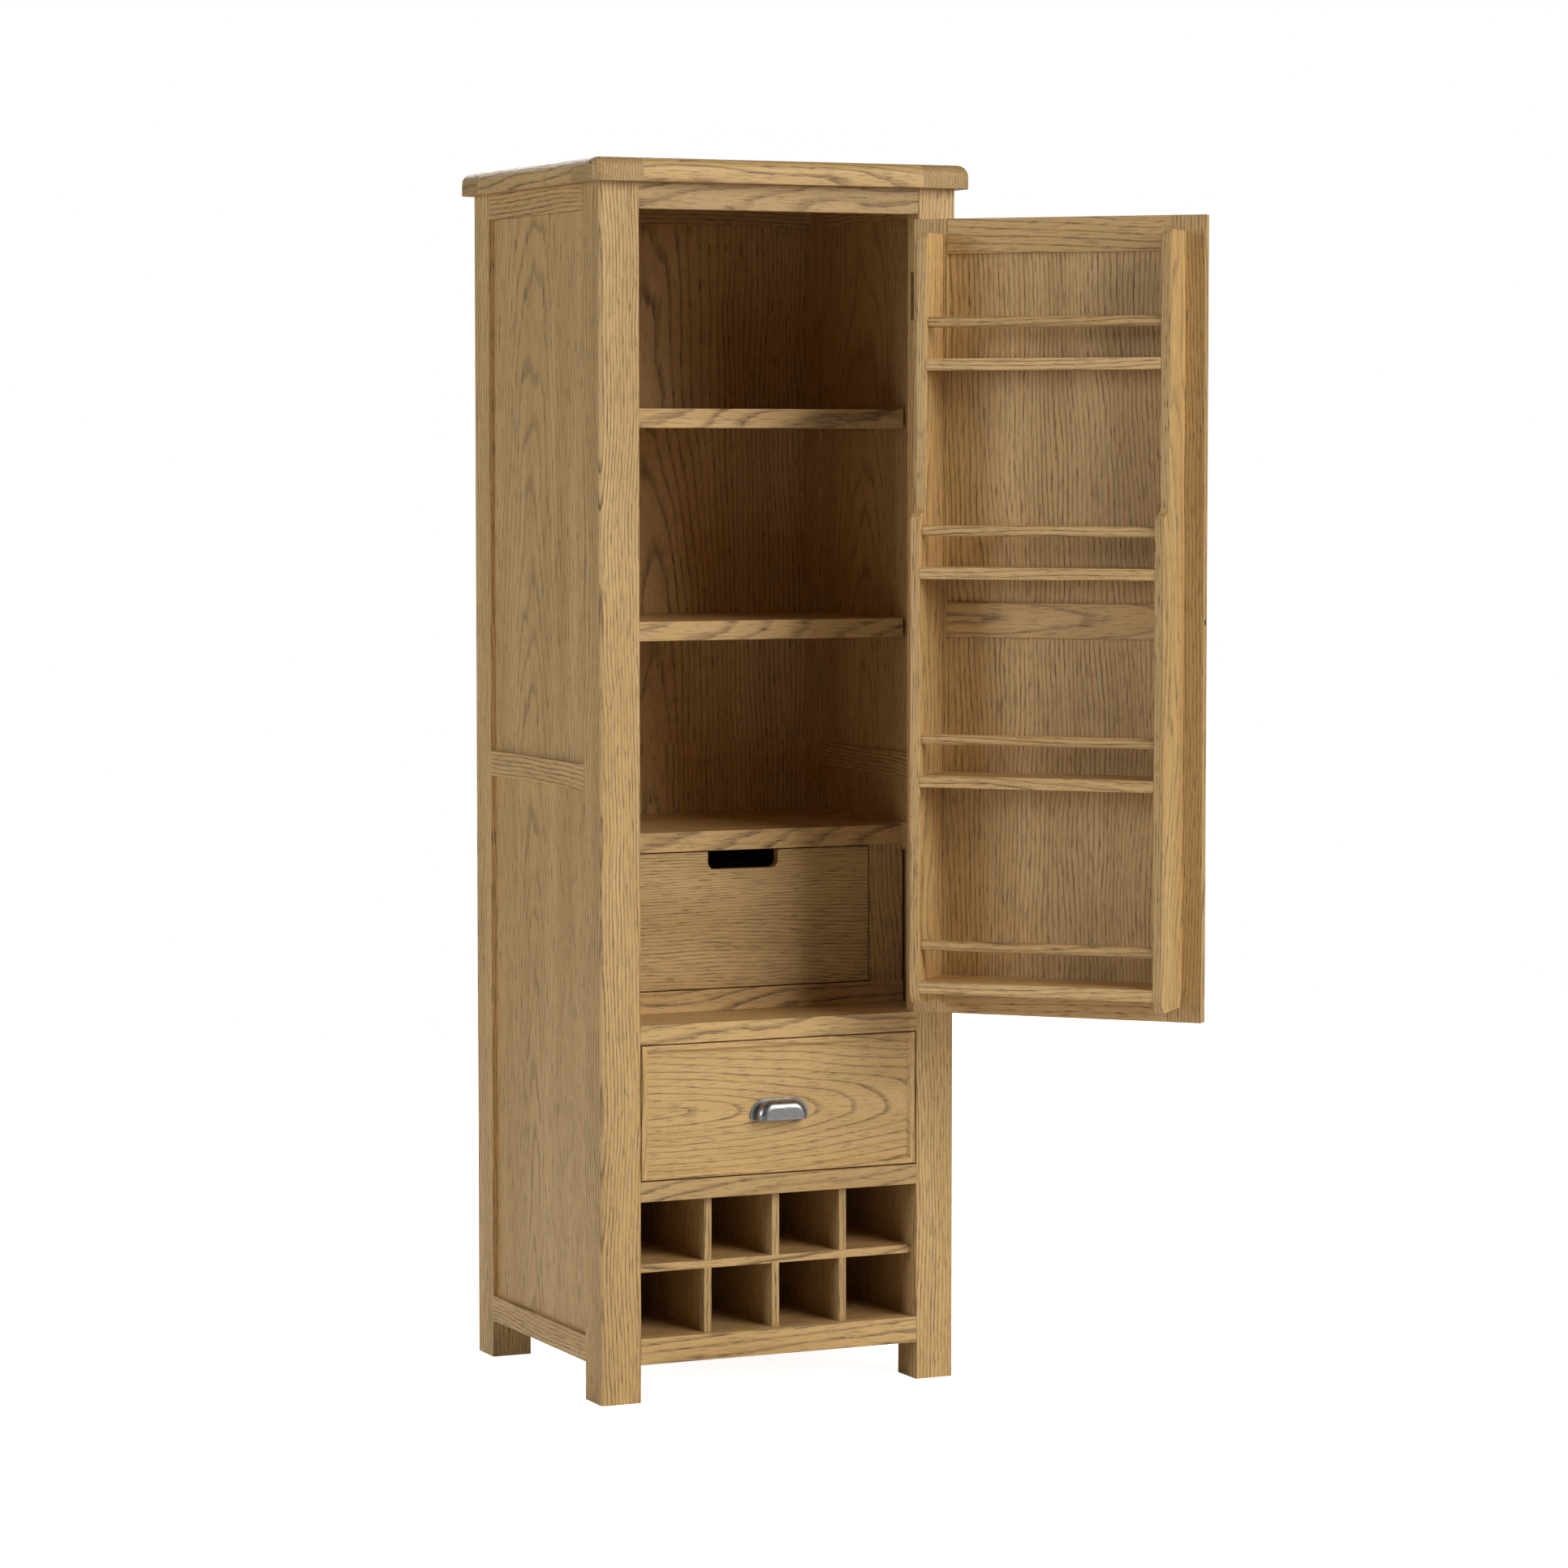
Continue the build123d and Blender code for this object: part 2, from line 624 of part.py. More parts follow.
def make_cup_pull():
    """A plate with rounded ends under a cup that is open below, held by two bolts."""
    cup_half = PULL_WIDTH / 2 - PULL_EAR
    cup_height = PULL_HEIGHT - PULL_RIM
    cup = (cup_half, cup_height, PULL_REACH, PULL_SHOULDER, PULL_ROUND)
    outer = cup_block(*cup)
    room = cup_block(*[size - PULL_WALL for size in cup])
    lip = cup_block(*[size + PULL_LIP for size in cup])
    everywhere = (-PULL_WIDTH, PULL_WIDTH)
    lip &= block(everywhere, (FRONT - 2 * PULL_REACH, FRONT + FRAME), (PULL_Z, PULL_Z + PULL_LIP_HEIGHT))
    pull = (outer + lip - room) + pull_plate()
    front = nodes["outer_drawer_front"][0]
    bolts = []
    face_y = FRONT + FIELD_RECESS
    inside = FRONT + FRAME
    for side in (-1, 1):
        x = side * cup_half * BOLT_ACROSS
        y = face_y - PULL_PLATE - PULL_BOSS
        z = PULL_Z + PULL_HEIGHT * BOLT_UP
        boss = rod(2 * SCREW_R, (x, y, z), (0, 1, 0), PULL_BOSS)
        shank = rod(SCREW_R, (x, y, z), (0, 1, 0), inside - y)
        head = rod(2 * SCREW_R, (x, inside, z), (0, 1, 0), BOLT_HEAD)
        slot = Pos(x, inside + BOLT_HEAD, z) * Box(5 * SCREW_R, 2 * BOLT_SLOT, SCREW_R / 2)
        pull = pull + boss - shank
        front -= shank
        bolts.append(shank + head - slot)
    keep("outer_drawer_front", front)
    keep("cup_pull", pull)
    keep("cup_pull_bolts", *bolts)


# ---------------------------------------------------------------- door and hinges


def make_door_frame():
    stile_x = DOOR_HALF - DOOR_STILE
    y = (FRONT, DOOR_FACE)
    mid_y = (FRONT + DOOR_FACE) / 2
    tenon_y = (mid_y - TENON_THICK / 2, mid_y + TENON_THICK / 2)
    panel_y = (mid_y - DOOR_PANEL / 2, mid_y + DOOR_PANEL / 2)
    rails_z = (
        (DOOR_Z, DOOR_Z + DOOR_STILE),
        (DOOR_MIDDLE_Z, DOOR_MIDDLE_Z + DOOR_STILE),
        (DOOR_TOP_Z - DOOR_STILE, DOOR_TOP_Z),
    )
    panel_x = (-stile_x - GROOVE, stile_x + GROOVE)
    panels = []
    for low, high in ((rails_z[0][1], rails_z[1][0]), (rails_z[1][1], rails_z[2][0])):
        panels.append(block(panel_x, panel_y, (low - GROOVE, high + GROOVE)))
    stile = soften(block((stile_x, DOOR_HALF), y, (DOOR_Z, DOOR_TOP_Z)), Axis.Z)
    rails = []
    for low, high in rails_z:
        tenon_z = (low + DOOR_TENON_SHOULDER, high - DOOR_TENON_SHOULDER)
        tenon = block((-stile_x - DOOR_TENON, stile_x + DOOR_TENON), tenon_y, tenon_z)
        rail = soften(block((-stile_x, stile_x), y, (low, high)), Axis.X) + tenon
        stile -= tenon
        rails.append(rail - panels[0] - panels[1])
    stile = stile - panels[0] - panels[1]
    free = mirror_x(stile) - magnet(-DOOR_HALF, 1) - knob_shape()
    hinge = stile
    for z in HINGE_Z:
        hinge -= door_leaf_screws(z)
    return {"hinge": hinge, "free": free, "rails": rails, "panels": panels}


def rack_side_outline():
    """The stepped side board: deep below, shallow above, with an S step between."""
    deep = RACK_DEEP
    shallow = RACK_SHALLOW
    low, high = RACK_Z
    step_low, step_high = RACK_STEP_Z
    foot = RACK_FOOT_R
    head = RACK_HEAD_R
    middle = ((deep + shallow) / 2, (step_low + step_high) / 2)
    line = [
        Line((0, low), (deep - foot, low)),
        RadiusArc((deep - foot, low), (deep, low + foot), -foot),
        Line((deep, low + foot), (deep, step_low)),
        Spline((deep, step_low), middle, (shallow, step_high), tangents=((0, 1), (0, 1))),
        Line((shallow, step_high), (shallow, high - head)),
        RadiusArc((shallow, high - head), (shallow - head, high), -head),
        Line((shallow - head, high), (0, high)),
        Line((0, high), (0, low)),
    ]
    return make_face(Curve() + line)


def rack_side():
    """The board on the hinge side, standing on the door's inner face."""
    outer = DOOR_HALF - RACK_INSET
    plane = Plane((outer - RACK_SIDE, DOOR_FACE, 0), x_dir=(0, 1, 0), z_dir=(1, 0, 0))
    return extrude(plane * rack_side_outline(), RACK_SIDE)


def make_door():
    frame = make_door_frame()
    sides = [rack_side(), mirror_x(rack_side())]
    inner = DOOR_HALF - RACK_INSET - RACK_SIDE
    shelves = []
    rails = []
    for top in RACK_SHELF_TOPS:
        depth = RACK_DEEP if top < RACK_STEP_Z[0] else RACK_SHALLOW
        shelf = block((-inner, inner), (DOOR_FACE, DOOR_FACE + depth), (top - RACK_SHELF, top))
        shelves.append(soften(shelf, Axis.X))
        centre = (-inner - RACK_RAIL_HOLE, DOOR_FACE + depth - RACK_RAIL_INSET, top + RACK_RAIL_ABOVE)
        rail = rod(RACK_RAIL_R, centre, (1, 0, 0), 2 * (inner + RACK_RAIL_HOLE))
        rails.append(rail)
        sides = [side - rail for side in sides]
    sides = [fillet(side.faces().sort_by(Axis.Y)[-1].edges().filter_by(Axis.Z), RACK_EASE) for side in sides]
    leaves = [door_leaf(z) for z in HINGE_Z]
    screws = [door_leaf_screws(z) for z in HINGE_Z]
    keep("door_stile_hinge", swing(frame["hinge"]))
    keep("door_stile_free", swing(frame["free"]))
    keep("door_rails", *[swing(rail) for rail in frame["rails"]])
    keep("door_panels", *[swing(panel) for panel in frame["panels"]])
    keep("rack_side_hinge", swing(sides[0]))
    keep("rack_side_free", swing(sides[1]))
    keep("rack_shelves", *[swing(shelf) for shelf in shelves])
    keep("rack_rails", *[swing(rail) for rail in rails])
    keep("door_knob", swing(knob_shape()))
    keep("hinge_door_leaves", *[swing(leaf) for leaf in leaves])
    keep("hinge_door_screws", *[swing(s) for group in screws for s in group.solids()])
    keep("catch_magnet_door", swing(magnet(-DOOR_HALF, 1)))


def magnet(x, inward):
    """A disc let in flush with the face at x, sunk towards +X or -X."""
    return rod(MAGNET_R, (x, FRONT + DOOR_THICK / 2, MAGNET_Z), (inward, 0, 0), MAGNET_DEEP)


def knob_shape():
    """A turned knob on the outside of the free stile, with its stud in the stile."""
    x = -DOOR_HALF + DOOR_STILE / 2
    profile = [
        Line((0, 12), (3, 12)),
        Line((3, 12), (3, 0)),
        Line((3, 0), (9, 0)),
        Line((9, 0), (9, -2)),
        Spline((9, -2), (6, -7), (7, -13), (KNOB_R, -18), tangents=((-0.6, -1), (1, -0.3))),
        Spline((KNOB_R, -18), (KNOB_R - 3, -23), (0, -26), tangents=((0, -1), (-1, 0))),
        Line((0, -26), (0, 12)),
    ]
    face = make_face(Curve() + profile)
    plane = Plane((x, FRONT, KNOB_Z), x_dir=(1, 0, 0), z_dir=(0, 0, 1))
    return revolve(plane * face, Axis((x, FRONT, KNOB_Z), (0, 1, 0)), 360)


def knuckle(low, high, hole):
    outer = rod(KNUCKLE_R, (PIN_X, PIN_Y, low), (0, 0, 1), high - low)
    return outer - rod(hole, (PIN_X, PIN_Y, low), (0, 0, 1), high - low)


def knuckle_levels(z):
    """The three knuckles of a hinge centred on z, from the bottom."""
    low = z - HINGE_HEIGHT / 2
    third = HINGE_HEIGHT / 3
    return [(low + k * third, low + (k + 1) * third) for k in range(3)]


def frame_leaf(z):
    """The leaf on the leg's inner face, with the lowest and highest knuckles."""
    low, middle, high = knuckle_levels(z)
    x = (OPEN - LEAF, OPEN)
    leaf = block(x, (PIN_Y, FRONT + LEAF_REACH), (low[0], high[1]))
    leaf -= rod(PIN_R + PIN_PLAY, (PIN_X, PIN_Y, low[0]), (0, 0, 1), HINGE_HEIGHT)
    clear = (middle[0] - HINGE_GAP / 2, middle[1] + HINGE_GAP / 2)
    leaf -= block((DOOR_HALF, OPEN), (PIN_Y - KNUCKLE_R, FRONT), clear)
    leaf += knuckle(low[0], low[1] - HINGE_GAP / 2, PIN_R)
    leaf += knuckle(high[0] + HINGE_GAP / 2, high[1], PIN_R)
    return leaf


def door_leaf(z):
    """The leaf on the door's edge, with the middle knuckle."""
    low, middle, high = knuckle_levels(z)
    x = (DOOR_HALF, DOOR_HALF + LEAF)
    leaf = block(x, (PIN_Y, FRONT + DOOR_LEAF_DEPTH), (low[0], high[1]))
    for zone in ((low[0], low[1] + HINGE_GAP / 2), (high[0] - HINGE_GAP / 2, high[1])):
        leaf -= block((DOOR_HALF, OPEN), (PIN_Y - KNUCKLE_R, FRONT), zone)
    leaf += knuckle(middle[0] + HINGE_GAP / 2, middle[1] - HINGE_GAP / 2, PIN_R + PIN_PLAY)
    leaf -= rod(PIN_R + PIN_PLAY, (PIN_X, PIN_Y, low[0]), (0, 0, 1), HINGE_HEIGHT)
    return leaf - door_leaf_screws(z)


def screw_rows(z):
    return (z - HINGE_SCREW_PITCH, z, z + HINGE_SCREW_PITCH)


def hinge_screws(z):
    """Three screws through the frame leaf into the right leg."""
    y = FRONT + FRAME_SCREW_SETBACK
    places = [Pos(OPEN - LEAF, y, row) * Rot(0, -90, 0) for row in screw_rows(z)]
    return Compound([place * flat_screw() for place in places])


def door_leaf_screws(z):
    """Three screws through the door leaf into the door's edge."""
    y = FRONT + DOOR_SCREW_SETBACK
    places = [Pos(DOOR_HALF + LEAF, y, row) * Rot(0, 90, 0) for row in screw_rows(z)]
    return Compound([place * flat_screw() for place in places])


def flat_screw():
    """A small screw whose head fills the leaf's thickness."""
    head = Cone(SCREW_R, SCREW_HEAD_R, LEAF, align=(Align.CENTER, Align.CENTER, Align.MAX))
    return head + Cylinder(SCREW_R, HINGE_SCREW_LENGTH, align=(Align.CENTER, Align.CENTER, Align.MAX))


def make_hinges():
    leaves = [frame_leaf(z) - hinge_screws(z) for z in HINGE_Z]
    keep("hinge_frame_leaves", *leaves)
    pins = []
    for z in HINGE_Z:
        pins.append(rod(PIN_R, (PIN_X, PIN_Y, z - HINGE_HEIGHT / 2), (0, 0, 1), HINGE_HEIGHT))
    keep("hinge_pins", *pins)
    keep("hinge_frame_screws", *[s for z in HINGE_Z for s in hinge_screws(z).solids()])
    keep("catch_magnet_frame", magnet(-OPEN, -1))


def write_all():
    os.makedirs("parts", exist_ok=True)
    for name, solids in nodes.items():
        pieces = [solid for shape in solids for solid in shape.solids()]
        shape = pieces[0] if len(pieces) == 1 else Compound(pieces)
        export_step(shape, "parts/" + name + ".step")


make_legs()
make_front_rails()
make_side_frames()
make_back()
make_cornice()
make_loose_shelves()
make_fixed_shelf()
make_decks()
make_wine_rack()
make_outer_drawer()
make_inner_drawer()
make_cup_pull()
make_hinges()
make_door()
write_all()
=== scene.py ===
import math

import bpy
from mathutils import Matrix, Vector


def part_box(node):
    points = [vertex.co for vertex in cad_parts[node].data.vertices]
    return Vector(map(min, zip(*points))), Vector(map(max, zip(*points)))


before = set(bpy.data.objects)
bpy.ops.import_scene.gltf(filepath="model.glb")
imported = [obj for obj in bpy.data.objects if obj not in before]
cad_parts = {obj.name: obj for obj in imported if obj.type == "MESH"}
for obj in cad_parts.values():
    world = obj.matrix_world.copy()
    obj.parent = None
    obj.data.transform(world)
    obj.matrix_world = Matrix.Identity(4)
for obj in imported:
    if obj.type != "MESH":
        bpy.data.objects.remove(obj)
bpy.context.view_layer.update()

# ---------------------------------------------------------------- the wood

# Directions of the grain in the cabinet's own axes.
ALONG_X = "X"
ALONG_Y = "Y"
ALONG_Z = "Z"
ALONG_Z_SIDEWAYS = "Z, on a board that faces left or right"

# The door stands open by this angle at rest. Turned back by it, its rails lie along X.
DOOR_OPEN = math.radians(135.0)

# Finish colours, linear.
PALE = (0.750, 0.492, 0.215)
WARM = (0.600, 0.372, 0.146)
PORE = (0.090, 0.052, 0.032)

# Ring widths in metres: most boards, boards with fine straight lines, and boards with wide arches.
FLAT_PITCH = 0.0068
FINE_PITCH = 0.0050
WIDE_PITCH = 0.0105

# Width of the dark pores in each ring, in metres, and the most of a ring that they fill.
BAND = 0.0026
WIDEST_BAND = 0.38

# Marks in the wood, as features per metre across, through and along the grain.
SLOW_WAVES = (5.0, 5.0, 1.6)
FINE_WAVES = (45.0, 45.0, 9.0)
STREAKS = (210.0, 210.0, 22.0)
PORES = (430.0, 430.0, 34.0)
PATCHES = (14.0, 14.0, 3.0)
CLOUDS = (22.0, 22.0, 1.8)
FIBRES = (1500.0, 1500.0, 30.0)

# How far the waves bend the rings, in metres.
SLOW_BEND = 0.055
FINE_BEND = 0.0055

# Nearly all values of a noise lie between these. Streaks and pores begin and end higher up in it.
NOISE_RANGE = (0.3, 0.7)
STREAK_RANGE = (0.40, 0.56)
PORE_RANGE = (0.54, 0.64)

# Least and greatest darkness of the lines: from ring to ring, over a board, and from streak to streak.
RING_STRENGTH = (0.50, 1.0)
PATCH_STRENGTH = (0.65, 1.0)
STREAK_STRENGTH = (0.48, 1.0)

# Darkness of the loose flecks between the rings' bands and inside them.
FLECK_STRENGTH = (0.34, 0.85)

# The fibres' tint of the ground, its shade, and their height in the relief beside a pore's depth.
FIBRE_TINT = 0.22
FIBRE_SHADE = 0.72
FIBRE_HEIGHT = 0.25

# Roughness between the pores and in them, the gloss, and the relief with its depth in metres.
OAK_ROUGH = (0.42, 0.68)
OAK_SPECULAR = 0.35
OAK_BUMP = 0.35
OAK_BUMP_DEPTH = 0.0006

# How far apart in the noise two nodes may start, and how far the next board in a node is, in metres.
NOISE_SPAN = 4.0
BOARD_JUMP = 1.37

# Each node numbers its rings from a place of its own, so that other rings are strong on it.
FIRST_RING = 1000.0
RING_SPAN = 100.0
RING_DRAW = 7

# Multipliers that mix a seed and a step into a repeatable number.
MIX_SEED = 12.9898
MIX_STEP = 78.233
MIX_SINE = 437.585

# Where the tree's heart lay from a board's middle: aside, behind, and its lean along the board.
# A near heart with some lean gives arches on the face, and a far one gives straight lines.
UPRIGHT_HEART = (0.55, 0.35, 0.010)
LEVEL_HEART = (-0.05, 0.10, 0.05)
SIDE_RAIL_HEART = (-0.4, 0.0, 0.03)
SIDE_PANEL_HEART = (0.04, -0.03, 0.055)
BACK_HEART = (0.0, -0.06, 0.03)
OUTER_DRAWER_HEART = (0.0, -0.035, 0.14)
INNER_DRAWER_HEART = (-0.16, -0.05, 0.06)
DRAWER_BOX_HEART = (-0.3, 0.0, 0.02)

# The same from the top of the legs and the middle of the cabinet.
TOP_HEART = (-0.05, -0.45, 0.02)
CORNER_BLOCK_HEART = (-0.03, 0.05, 0.02)

# The same for the door, with the door turned back. The first three are whole figures, seen from
# the origin, and the last is seen from halfway up the door.
DOOR_STILE_FIGURE = (0.6, 0.4, 0.012)
DOOR_PANEL_FIGURE = (0.3, -0.9, 0.03)
RACK_FIGURE = (0.9, 0.2, 0.05)
DOOR_RAIL_HEART = (0.0, 0.017, 0.10)

# Height at which the two back boards meet, width of the beads on the outer drawer's ends, and
# width of the rebate that the top panel lies in, all in metres.
BACK_JOINT_Z = 0.98
BEAD_WIDTH = 0.009
TOP_REBATE = 0.012

# Nodes made lighter or darker than the rest, mostly as painted light and shade and partly as the boards'
# own tone.
# Painted shade darkens the wine rack, the inside of the right side, and the inner drawer front, inner
# stiles and free door stile behind the door's rack. A painted shadow of the cornice darkens the top rail,
# and painted light lightens the back boards and the rack's shelves.
PAINTED_SHADE_AND_TONE = {
    "front_rail_top": 0.78,
    "cornice_corner_blocks": 0.80,
    "wine_rack_head_rail": 0.86,
    "wine_dividers": 0.82,
    "wine_cheeks": 0.80,
    "wine_floor": 0.80,
    "wine_shelf": 0.92,
    "right_side_panels": 0.86,
    "right_side_rails": 0.90,
    "inner_face_stiles": 0.88,
    "inner_drawer_front": 0.88,
    "back_boards": 1.10,
    "rack_side_free": 0.93,
    "rack_side_hinge": 1.06,
    "rack_shelves": 1.10,
    "door_stile_free": 0.90,
    "leg_rear_left": 1.10,
    "left_side_rails": 1.06,
}

# Nodes on which the lines of the grain are fainter.
FAINT_LINES = {
    "left_side_panels": 0.55,
    "right_side_panels": 0.55,
    "cornice_corner_blocks": 0.70,
    "back_boards": 0.85,
    "rack_side_free": 0.75,
    "rack_side_hinge": 0.75,
}

STRAIGHT_UPRIGHTS = (
    "leg_front_left", "leg_front_right", "leg_rear_left", "leg_rear_right",
    "wine_dividers", "wine_cheeks", "inner_face_stiles",
)

LEVEL_BOARDS = (
    "front_rail_top", "front_rail_bottom", "drawer_head_rail", "wine_rack_head_rail", "inner_face_rail",
    "fixed_shelf", "lower_shelf", "upper_shelf", "wine_shelf",
    "cupboard_floor", "drawer_deck", "wine_floor",
    "back_rails", "battens", "drawer_runners", "inner_drawer_runners",
)

# ---------------------------------------------------------------- the metals

PEWTER = (0.33, 0.33, 0.34)
HINGE_GOLD = (0.60, 0.42, 0.22)
BARE_STEEL = (0.50, 0.50, 0.50)

PEWTER_ROUGH = 0.26
HINGE_ROUGH = 0.42
SCREW_ROUGH = 0.30

# Marks on the metals, as features per metre.
METAL_CLOUDS = (90.0, 90.0, 90.0)
METAL_SPECKS = (900.0, 900.0, 900.0)
BRUSH_LINES = (1200.0, 1200.0, 90.0)

# Where in its noise the patina begins and is full, the most there is of it, and its shade.
PATINA_RANGE = (0.52, 0.72)
PATINA_MOST = 0.55
PATINA_SHADE = 0.35

# The most that a brushed line darkens, its shade, and how uneven each metal's roughness is.
BRUSH_MOST = 0.4
BRUSH_SHADE = 0.7
CLOUDY_ROUGH = 0.16
BRUSHED_ROUGH = 0.12

SPECK_BUMP = 0.12
SPECK_BUMP_DEPTH = 0.0002

SCREW_STEEL_NODES = (
    "hinge_frame_screws", "hinge_door_screws", "back_screws", "cup_pull_bolts", "shelf_pegs",
    "catch_magnet_frame", "catch_magnet_door",
)

# ---------------------------------------------------------------- the stage

# The camera stands to the left of the front and looks down a little, with a long lens.
CAMERA_AT = (-3.165, -7.145, 1.468)
CAMERA_YAW = math.radians(24.73)
CAMERA_DOWN = math.radians(3.942)
CAMERA_LENS = 113.13
CAMERA_SENSOR = 36.0
CAMERA_FAR = 200.0

# The point that the lights face, at half of the cabinet's height.
TARGET = Vector((0.0, 0.0, 0.95))

FLOOR_REACH = 4.2
FLOOR_COLOUR = (0.9, 0.9, 0.9, 1.0)
FLOOR_ROUGH = 0.9
FLOOR_GLOW = 0.92
WHITE = (1.0, 1.0, 1.0, 1.0)

# How bright the surround is as a light, while the camera sees it as white.
AMBIENT = 0.07


# ---------------------------------------------------------------- node helpers


class Tree:
    """A short way to add and link nodes in one material."""

    def __init__(self, name):
        self.material = bpy.data.materials.new(name)
        self.material.use_nodes = True
        self.nodes = self.material.node_tree.nodes
        self.links = self.material.node_tree.links
        self.shader = self.nodes["Principled BSDF"]

    def feed(self, socket, value):
        """Link a socket's output into a socket, or set its value."""
        if isinstance(value, bpy.types.NodeSocket):
            self.links.new(value, socket)
        else:
            socket.default_value = value

    def add(self, kind):
        return self.nodes.new(kind)

    def point(self):
        """Where a point lies in the cabinet, in metres."""
        return self.add("ShaderNodeTexCoord").outputs["Object"]

    def math(self, operation, a, b=0.0, clamp=False):
        node = self.add("ShaderNodeMath")
        node.operation = operation
        node.use_clamp = clamp
        for socket, value in zip(node.inputs, (a, b)):
            self.feed(socket, value)
        return node.outputs[0]

    def split(self, vector):
        node = self.add("ShaderNodeSeparateXYZ")
        self.feed(node.inputs[0], vector)
        return node.outputs[0], node.outputs[1], node.outputs[2]

    def join(self, x, y, z):
        node = self.add("ShaderNodeCombineXYZ")
        for socket, value in zip(node.inputs, (x, y, z)):
            self.feed(socket, value)
        return node.outputs[0]

    def add_vectors(self, a, b):
        node = self.add("ShaderNodeVectorMath")
        node.operation = "ADD"
        self.feed(node.inputs[0], a)
        self.feed(node.inputs[1], b)
        return node.outputs[0]

    def place(self, vector, offset=(0, 0, 0), turn=(0, 0, 0), scale=(1, 1, 1)):
        node = self.add("ShaderNodeMapping")
        self.feed(node.inputs["Vector"], vector)
        node.inputs["Location"].default_value = offset
        node.inputs["Rotation"].default_value = turn
        node.inputs["Scale"].default_value = scale
        return node.outputs[0]

    def noise(self, vector, scale, detail=2.0, rough=0.5):
        node = self.add("ShaderNodeTexNoise")
        self.feed(node.inputs["Vector"], self.place(vector, scale=scale))
        node.inputs["Scale"].default_value = 1.0
        node.inputs["Detail"].default_value = detail
        node.inputs["Roughness"].default_value = rough
        return node.outputs["Fac"]

    def spread(self, value, low, high, to_low=0.0, to_high=1.0, smooth=False):
        """Take low to high over to to_low to to_high, and hold still outside them."""
        node = self.add("ShaderNodeMapRange")
        node.interpolation_type = "SMOOTHSTEP" if smooth else "LINEAR"
        node.clamp = True
        for socket, number in zip(node.inputs, (value, low, high, to_low, to_high)):
            self.feed(socket, number)
        return node.outputs[0]

    def mix(self, factor, a, b):
        """Blend two colours or two vectors."""
        node = self.add("ShaderNodeMix")
        node.data_type = "RGBA"
        for socket, value in ((node.inputs[0], factor), (node.inputs[6], a), (node.inputs[7], b)):
            if isinstance(value, tuple):
                value = (*value, 1.0)
            self.feed(socket, value)
        return node.outputs[2]

    def bump(self, height, strength, distance):
        node = self.add("ShaderNodeBump")
        node.inputs["Strength"].default_value = strength
        node.inputs["Distance"].default_value = distance
        self.feed(node.inputs["Height"], height)
        return node.outputs[0]


def scaled(colour, factor):
    return tuple(factor * part for part in colour)


# ---------------------------------------------------------------- oak

seeds = {name: index + 1 for index, name in enumerate(sorted(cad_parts))}


def scatter(seed, step):
    """A repeatable number from 0 to 1 for one node and one use."""
    return math.modf(abs(math.sin(seed * MIX_SEED + step * MIX_STEP) * MIX_SINE))[0]


def board_axes(tree, grain, x, y, z):
    """A point told as across, through, and along a board of this grain."""
    if grain == ALONG_X:
        return tree.join(z, y, x)
    if grain == ALONG_Y:
        return tree.join(z, x, y)
    if grain == ALONG_Z_SIDEWAYS:
        return tree.join(y, x, z)
    return tree.join(x, y, z)


def board_space(tree, grain, turned, ends):
    """Coordinates of a board in metres: across, through, and along its grain as the third.

    ends is (distance, grain) where pieces further out from the middle run another way.
    """
    point = tree.point()
    if turned:
        point = tree.place(point, turn=(0, 0, -DOOR_OPEN))
    x, y, z = tree.split(point)
    space = board_axes(tree, grain, x, y, z)
    if ends:
        distance, end_grain = ends
        aside = tree.math("GREATER_THAN", tree.math("ABSOLUTE", x), distance)
        space = tree.mix(aside, space, board_axes(tree, end_grain, x, y, z))
    return space


def next_board(tree, space, joint_z):
    """Above this height, take the grain from further along, as on another board."""
    _, _, height = tree.split(tree.point())
    above = tree.math("GREATER_THAN", height, joint_z)
    jump = tree.math("MULTIPLY", above, BOARD_JUMP)
    return tree.add_vectors(space, tree.join(0.0, 0.0, jump))


def growth_rings(tree, space, figure, pitch):
    """How many rings lie between the tree's heart and each point, bent by slow waves.

    figure is (heart across, heart through, lean).
    """
    across, through, lengthwise = tree.split(space)
    heart_across, heart_through, lean = figure
    drift = tree.math("MULTIPLY", lengthwise, lean)
    du = tree.math("SUBTRACT", across, heart_across)
    dv = tree.math("ADD", tree.math("SUBTRACT", through, heart_through), drift)
    squares = tree.math("ADD", tree.math("MULTIPLY", du, du), tree.math("MULTIPLY", dv, dv))
    far = tree.math("SQRT", squares)
    slow = tree.noise(space, scale=SLOW_WAVES)
    fine = tree.noise(space, scale=FINE_WAVES, detail=3.0, rough=0.6)
    far = tree.math("ADD", far, tree.math("MULTIPLY", slow, SLOW_BEND))
    far = tree.math("ADD", far, tree.math("MULTIPLY", fine, FINE_BEND))
    return tree.math("DIVIDE", far, pitch)


def ring_bands(tree, rings, pitch):
    """How deep each point lies in a ring's band of pores, and how strong that ring is."""
    phase = tree.math("FRACT", rings)
    number = tree.math("FLOOR", rings)
    band = min(WIDEST_BAND, BAND / pitch)
    rise = tree.spread(phase, 1.0 - band / 3, 1.0, smooth=True)
    fall = tree.spread(phase, 0.0, band, 1.0, 0.0, smooth=True)
    early = tree.math("MAXIMUM", rise, fall)
    chance = tree.add("ShaderNodeTexWhiteNoise")
    chance.noise_dimensions = "1D"
    tree.feed(chance.inputs["W"], number)
    weight = tree.spread(chance.outputs["Value"], 0.0, 1.0, *RING_STRENGTH)
    return early, weight


